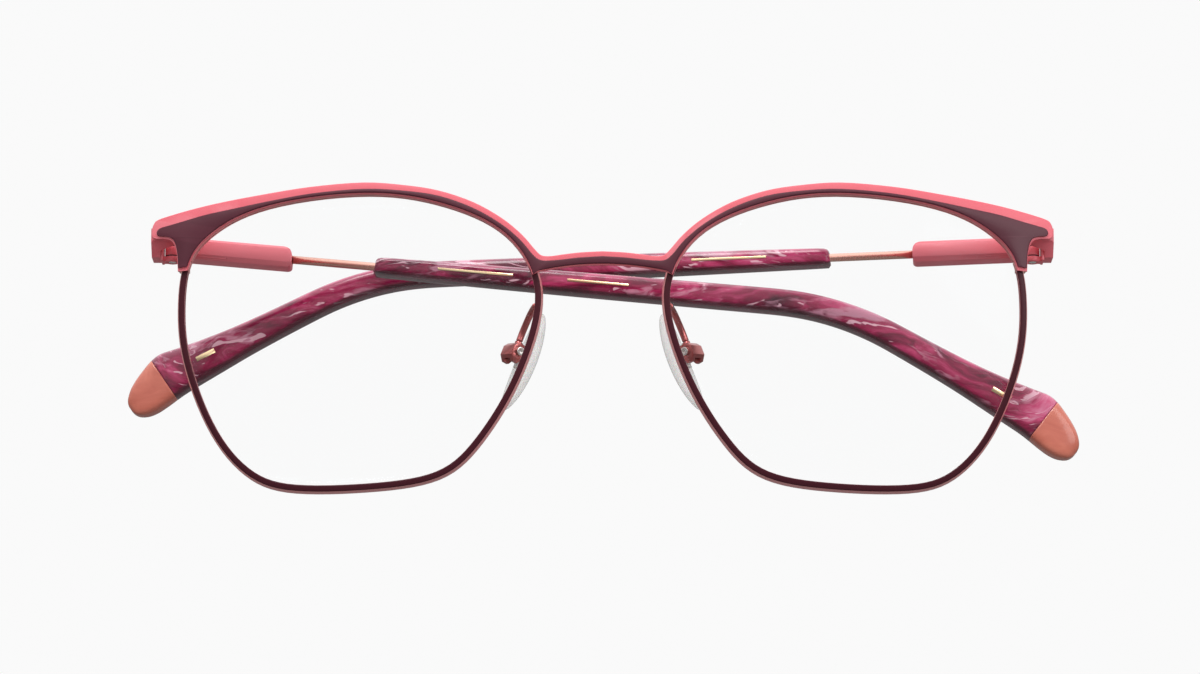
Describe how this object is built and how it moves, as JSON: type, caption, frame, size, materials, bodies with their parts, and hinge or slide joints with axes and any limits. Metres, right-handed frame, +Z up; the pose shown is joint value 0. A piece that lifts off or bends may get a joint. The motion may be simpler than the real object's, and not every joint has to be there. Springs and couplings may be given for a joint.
{
  "type": "eyeglasses",
  "caption": "Folding full-rim metal eyeglasses with a layered brow plate, clear lenses, wire nose-pad arms, barrel hinges and acetate-sleeved temples.",
  "frame": {"origin": "centre of the nose opening, on the lens centre line, in the plane that touches the front of both lenses", "axes": "+X towards the wearer's left along the front, +Y back towards the head, +Z up; drawn with both temples folded"},
  "size_m": [0.1397, 0.0227, 0.0451],
  "materials": {
    "coral_paint": "satin coral lacquer with a fine grain, on metal",
    "plum_paint": "satin dark plum lacquer on a raised metal sheet",
    "rim_paint": "dark plum lacquer on the front, rose-gold plating on the sides and back",
    "rose_metal": "rose-gold plated nickel silver, fine brushed",
    "dark_rose_metal": "dark rose plated nickel silver on the pad arms and forks",
    "screw_metal": "bright stainless screws with turned heads",
    "washer_nylon": "dark nylon washers",
    "lens": "clear polished lens with an anti-reflection coat",
    "acetate": "polished wine-red acetate, marbled with magenta and lilac streaks",
    "tip_acetate": "polished opaque salmon acetate",
    "pad_silicone": "clear soft silicone",
    "pad_core": "clear moulded core inside the pad",
    "gold_inlay": "thin polished gold-coloured foil stripes"
  },
  "bodies": {
    "front": {"brow_plate": "coral_paint", "brow_face": "plum_paint", "bridge_bar": "coral_paint", "rim_right": "rim_paint", "rim_left": "rim_paint", "lens_right": "lens", "lens_left": "lens", "end_piece_right": "coral_paint", "end_piece_left": "coral_paint", "rim_lock_right": "rose_metal", "rim_lock_left": "rose_metal", "rim_screws": "screw_metal", "hinge_front_right": "coral_paint", "hinge_front_left": "coral_paint", "hinge_washers": "washer_nylon", "hinge_screws": "screw_metal", "pad_arm_right": "dark_rose_metal", "pad_arm_left": "dark_rose_metal", "pad_box_right": "dark_rose_metal", "pad_box_left": "dark_rose_metal", "pad_screws": "screw_metal"},
    "right_temple": {"hinge_temple_right": "coral_paint", "temple_block_right": "coral_paint", "core_wire_right": "rose_metal", "temple_sleeve_right": "acetate", "temple_tip_right": "tip_acetate", "sleeve_inlay_right": "gold_inlay"},
    "left_temple": {"hinge_temple_left": "coral_paint", "temple_block_left": "coral_paint", "core_wire_left": "rose_metal", "temple_sleeve_left": "acetate", "temple_tip_left": "tip_acetate", "sleeve_inlay_left": "gold_inlay"},
    "right_pad": {"pad_stem_right": "pad_core", "nose_pad_right": "pad_silicone"},
    "left_pad": {"pad_stem_left": "pad_core", "nose_pad_left": "pad_silicone"}
  },
  "joints": [
    {"name": "left_temple_fold", "type": "hinge", "parent": "front", "child": "left_temple", "pos_m": [0.063, 0.0095, 0.0138], "axis": [0, -0.1478, -0.989], "range_deg": [0, 85.7]},
    {"name": "right_temple_fold", "type": "hinge", "parent": "front", "child": "right_temple", "pos_m": [-0.063, 0.0095, 0.0138], "axis": [0, 0.1478, 0.989], "range_deg": [0, 90.2]},
    {"name": "left_pad_rock", "type": "hinge", "parent": "front", "child": "left_pad", "pos_m": [0.0129, 0.008, -0.0011], "axis": [0.5562, 0.8295, 0.0501], "range_deg": [-8, 8]},
    {"name": "right_pad_rock", "type": "hinge", "parent": "front", "child": "right_pad", "pos_m": [-0.0129, 0.008, -0.0011], "axis": [-0.5562, 0.8295, 0.0501], "range_deg": [-8, 8]}
  ],
  "couplings": [
    {"joint": "right_temple_fold", "follows": "left_temple_fold", "ratio": 1.0525}
  ]
}
